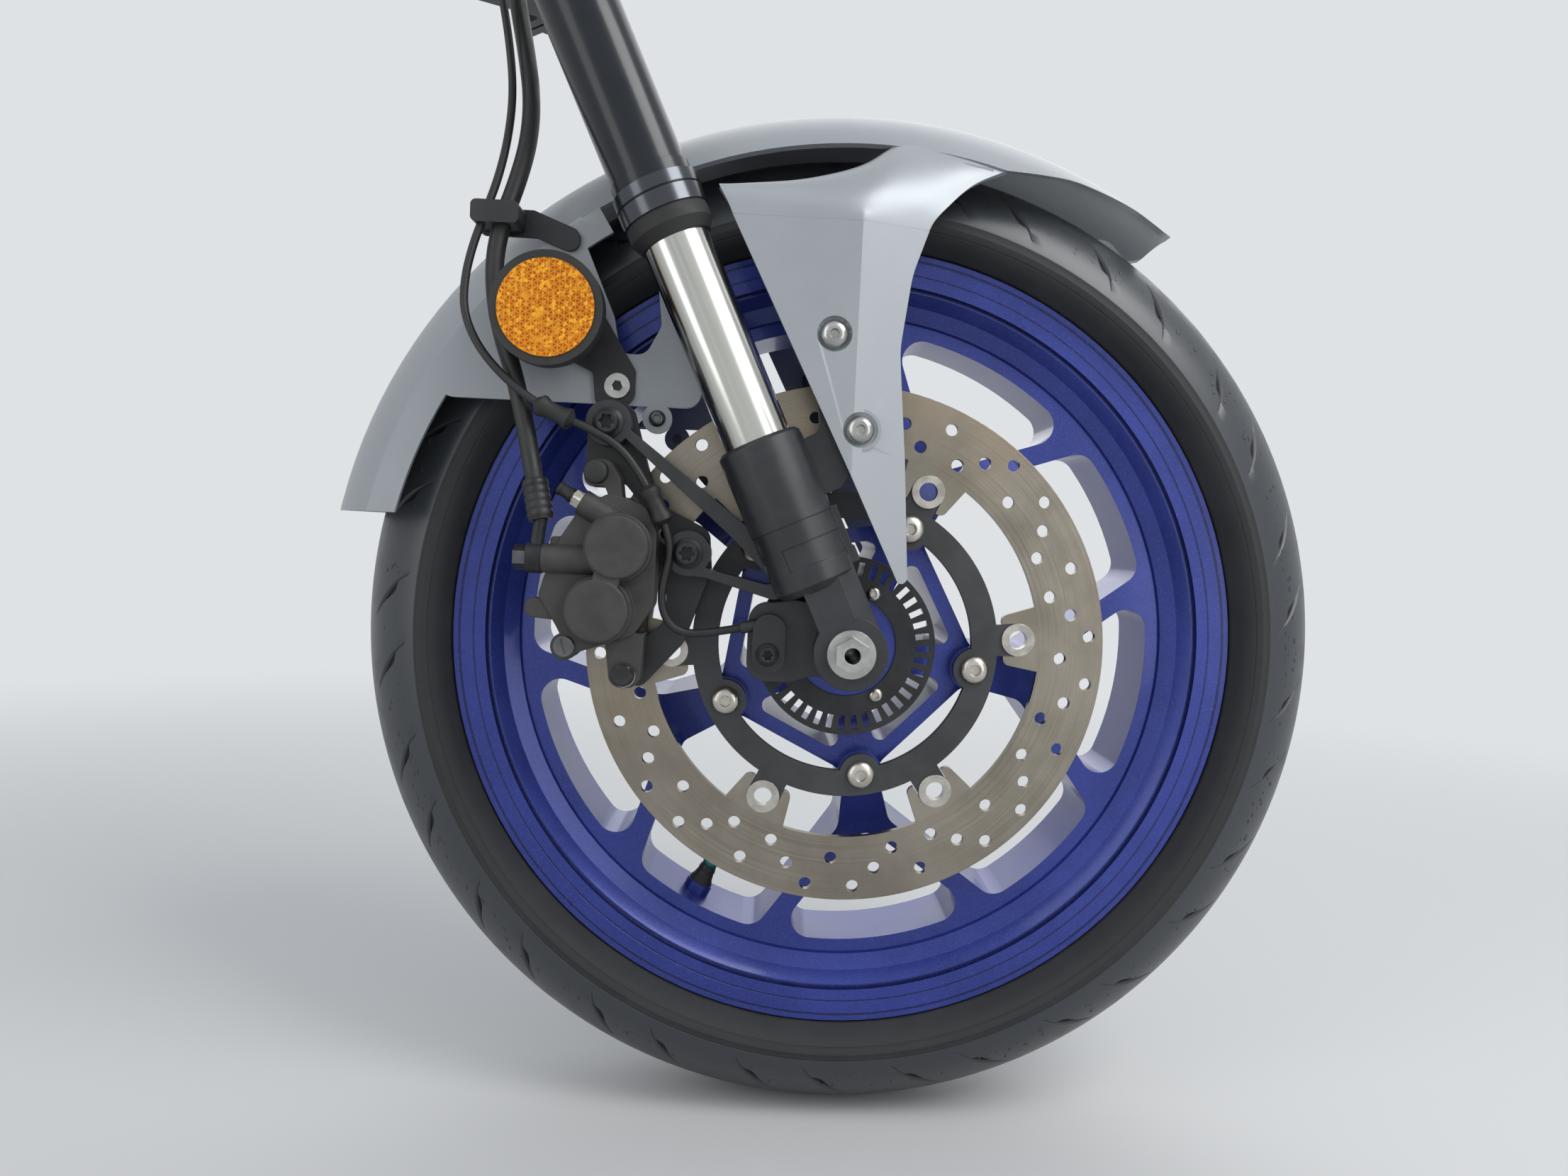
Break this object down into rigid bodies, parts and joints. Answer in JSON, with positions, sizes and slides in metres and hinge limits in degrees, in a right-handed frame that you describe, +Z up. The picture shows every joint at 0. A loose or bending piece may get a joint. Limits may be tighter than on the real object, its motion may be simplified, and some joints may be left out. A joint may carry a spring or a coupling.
{
  "type": "motorcycle front fork and wheel assembly",
  "caption": "Front end of a sport motorcycle: steering head, yokes, fork legs, mudguard and a cast wheel with a brake disc, which steers and rolls.",
  "frame": {"origin": "middle of the head tube, on the steering axis", "axes": "+X forward, +Y to the rider's left, +Z up, as the machine stands on level ground"},
  "size_m": [0.6318, 0.248, 0.9384],
  "materials": {
    "wheel_paint": "gloss metallic blue",
    "tyre_rubber": "matte",
    "guard_paint": "satin silver",
    "cast_black": "satin black",
    "tube_black": "gloss black",
    "tube_chrome": "polished",
    "seal_rubber": "matte",
    "turned_steel": "turned",
    "disc_steel": "ground, browned by heat",
    "carrier_black": "satin black",
    "bobbin_zinc": "zinc plated",
    "ring_steel": "stamped",
    "caliper_cast": "cast, dark grey",
    "bracket_black": "satin black",
    "pad_compound": "rough",
    "amber_lens": "gloss amber",
    "black_plastic": "satin",
    "hose_rubber": "matte",
    "cap_alloy": "anodised",
    "frame_paint": "satin black"
  },
  "bodies": {
    "head": {"head_tube": "frame_paint", "head_bearings": "turned_steel"},
    "fork": {"mudguard": "guard_paint", "casting_r": "cast_black", "casting_l": "cast_black", "lower_yoke": "cast_black", "upper_yoke": "cast_black", "guard_stay_r": "cast_black", "guard_stay_l": "cast_black", "outer_tube_r": "tube_black", "outer_tube_l": "tube_black", "inner_tube_r": "tube_chrome", "inner_tube_l": "tube_chrome", "dust_seal_r": "seal_rubber", "dust_seal_l": "seal_rubber", "axle": "turned_steel", "wheel_spacers": "turned_steel", "steering_stem": "turned_steel", "stem_nut": "turned_steel", "bearing_adjuster": "turned_steel", "slide_pins": "turned_steel", "caliper_pistons": "turned_steel", "banjo_bolt": "bobbin_zinc", "hose_union": "bobbin_zinc", "hose_joint": "bobbin_zinc", "caliper_body": "caliper_cast", "caliper_bracket": "bracket_black", "reflector_bracket_r": "bracket_black", "reflector_bracket_l": "bracket_black", "hose_guide": "bracket_black", "brake_pads": "pad_compound", "reflector_lens_r": "amber_lens", "reflector_lens_l": "amber_lens", "reflector_housing_r": "black_plastic", "reflector_housing_l": "black_plastic", "wheel_sensor": "black_plastic", "lead_plug": "black_plastic", "brake_hose": "hose_rubber", "sensor_lead": "hose_rubber", "fork_cap_r": "cap_alloy", "fork_cap_l": "cap_alloy"},
    "wheel": {"wheel_casting": "wheel_paint", "tyre": "tyre_rubber", "wheel_bearings": "turned_steel", "valve": "seal_rubber", "disc_band": "disc_steel", "disc_carrier": "carrier_black", "disc_bobbins": "bobbin_zinc", "speed_ring": "ring_steel"}
  },
  "joints": [
    {"name": "steering", "type": "hinge", "parent": "head", "child": "fork", "pos_m": [0, 0, 0], "axis": [-0.4226, 0, 0.9063], "range_deg": [-30, 30]},
    {"name": "wheel_roll", "type": "hinge", "parent": "fork", "child": "wheel", "pos_m": [0.27343, 0, -0.49811], "axis": [0, 1, 0], "continuous": true}
  ]
}
